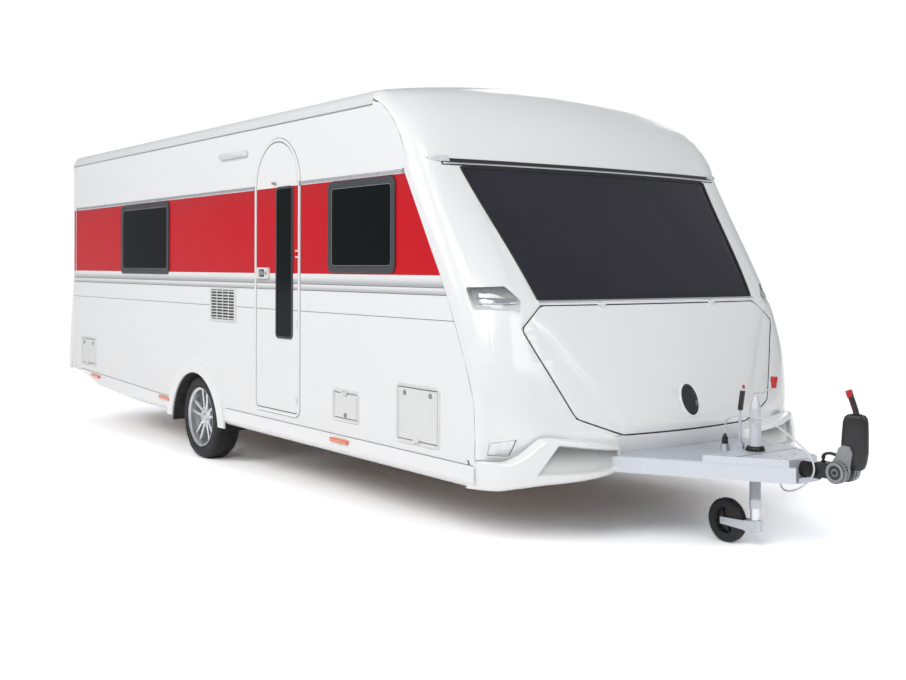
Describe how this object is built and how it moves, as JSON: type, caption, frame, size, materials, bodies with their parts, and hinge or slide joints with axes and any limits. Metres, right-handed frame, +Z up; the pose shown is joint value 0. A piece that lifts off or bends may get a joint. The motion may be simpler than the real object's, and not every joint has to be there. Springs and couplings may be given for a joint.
{
  "type": "travel caravan",
  "caption": "Single-axle touring caravan with hollow cabin, entrance door, front locker, A-frame drawbar, jockey wheel and corner steadies.",
  "frame": {"origin": "middle of the footprint, on the floor", "axes": "+X forward to the coupling, +Y to the left side, +Z up"},
  "size_m": [8.009, 2.548, 2.657],
  "materials": {
    "body_white": "gloss",
    "roof_white": "gloss",
    "floor_board": "satin",
    "window_acrylic": "gloss",
    "frame_grey": "satin",
    "trim_silver": "satin",
    "lamp_clear": "gloss",
    "lamp_red": "gloss",
    "marker_orange": "gloss",
    "galvanised": "satin",
    "cast_black": "satin",
    "wheel_alloy": "satin",
    "tyre_rubber": "matte",
    "rubber_black": "matte",
    "plastic_black": "satin",
    "plastic_white": "satin",
    "cable_white": "satin",
    "liner_grey": "matte"
  },
  "bodies": {
    "root": {"arch_trims": "body_white", "awning_lamp": "lamp_clear", "awning_rails": "trim_silver", "axle": "galvanised", "bellows": "rubber_black", "cable": "cable_white", "chassis": "galvanised", "corner_grips": "trim_silver", "coupling_handle": "plastic_black", "coupling_head": "cast_black", "door_frame": "body_white", "drawbar": "galvanised", "drawbar_cover": "galvanised", "floor": "floor_board", "front_bumpers": "body_white", "front_lamps": "lamp_clear", "front_moulding": "body_white", "handbrake_lever": "plastic_black", "hatch_frames": "plastic_white", "jockey_crank": "plastic_black", "jockey_tube": "galvanised", "locker_box": "floor_board", "overrun_housing": "galvanised", "plug": "plastic_black", "plug_holder": "trim_silver", "rear_lamps": "lamp_red", "rear_moulding": "body_white", "roof": "roof_white", "roof_lights": "lamp_clear", "side_markers": "marker_orange", "side_skirts": "body_white", "side_vents": "plastic_white", "side_wall_left": "body_white", "side_wall_right": "body_white", "steady_brackets": "galvanised", "wheel_boxes": "liner_grey", "window_frames": "frame_grey", "window_panes": "window_acrylic", "windscreen": "window_acrylic"},
    "entrance_door": {"entrance_door": "body_white", "door_window": "window_acrylic", "door_handle": "plastic_white"},
    "locker_lid": {"locker_lid": "body_white", "locker_handle": "plastic_black"},
    "hatch_rear": {"hatch_rear": "plastic_white"},
    "hatch_middle": {"hatch_middle": "plastic_white"},
    "hatch_front": {"hatch_front": "plastic_white"},
    "wheel_right": {"rim_right": "wheel_alloy", "tyre_right": "tyre_rubber"},
    "wheel_left": {"rim_left": "wheel_alloy", "tyre_left": "tyre_rubber"},
    "jockey_leg": {"jockey_leg": "galvanised"},
    "jockey_fork": {"jockey_fork": "galvanised"},
    "jockey_wheel": {"jockey_wheel": "rubber_black"},
    "steady_front_right": {"steady_front_right": "galvanised"},
    "steady_front_left": {"steady_front_left": "galvanised"},
    "steady_rear_right": {"steady_rear_right": "galvanised"},
    "steady_rear_left": {"steady_rear_left": "galvanised"}
  },
  "joints": [
    {"name": "wheel_right_spin", "type": "hinge", "parent": "root", "child": "wheel_right", "pos_m": [-1.01, -1.1, 0.317], "axis": [0, 1, 0], "continuous": true},
    {"name": "wheel_left_spin", "type": "hinge", "parent": "root", "child": "wheel_left", "pos_m": [-1.01, 1.1, 0.317], "axis": [0, 1, 0], "continuous": true},
    {"name": "entrance_door_hinge", "type": "hinge", "parent": "root", "child": "entrance_door", "pos_m": [0.635, -1.264, 1.4], "axis": [0, 0, 1], "range_deg": [0, 110]},
    {"name": "locker_lid_hinge", "type": "hinge", "parent": "root", "child": "locker_lid", "pos_m": [2.62682, 0, 1.27331], "axis": [0, -1, 0], "range_deg": [0, 75]},
    {"name": "hatch_rear_hinge", "type": "hinge", "parent": "root", "child": "hatch_rear", "pos_m": [-3.4025, -1.264, 0.569], "axis": [1, 0, 0], "range_deg": [0, 95]},
    {"name": "hatch_middle_hinge", "type": "hinge", "parent": "root", "child": "hatch_middle", "pos_m": [1.235, -1.264, 0.705], "axis": [-1, 0, 0], "range_deg": [0, 110]},
    {"name": "hatch_front_hinge", "type": "hinge", "parent": "root", "child": "hatch_front", "pos_m": [2.0045, -1.264, 0.509], "axis": [1, 0, 0], "range_deg": [0, 95]},
    {"name": "jockey_slide", "type": "slide", "parent": "root", "child": "jockey_leg", "axis": [0, 0, 1], "range_m": [-0.1, 0.055]},
    {"name": "jockey_swivel", "type": "hinge", "parent": "jockey_leg", "child": "jockey_fork", "pos_m": [3.32, 0, 0.12], "axis": [0, 0, 1], "continuous": true},
    {"name": "jockey_wheel_spin", "type": "hinge", "parent": "jockey_fork", "child": "jockey_wheel", "pos_m": [3.135, 0, 0.118], "axis": [0, 1, 0], "continuous": true},
    {"name": "steady_front_right_hinge", "type": "hinge", "parent": "root", "child": "steady_front_right", "pos_m": [2.07, -1.01, 0.418], "axis": [0, -1, 0], "range_deg": [0, 60]},
    {"name": "steady_front_left_hinge", "type": "hinge", "parent": "root", "child": "steady_front_left", "pos_m": [2.07, 1.01, 0.418], "axis": [0, -1, 0], "range_deg": [0, 60]},
    {"name": "steady_rear_right_hinge", "type": "hinge", "parent": "root", "child": "steady_rear_right", "pos_m": [-3.53, -1.01, 0.418], "axis": [0, 1, 0], "range_deg": [0, 60]},
    {"name": "steady_rear_left_hinge", "type": "hinge", "parent": "root", "child": "steady_rear_left", "pos_m": [-3.53, 1.01, 0.418], "axis": [0, 1, 0], "range_deg": [0, 60]}
  ]
}
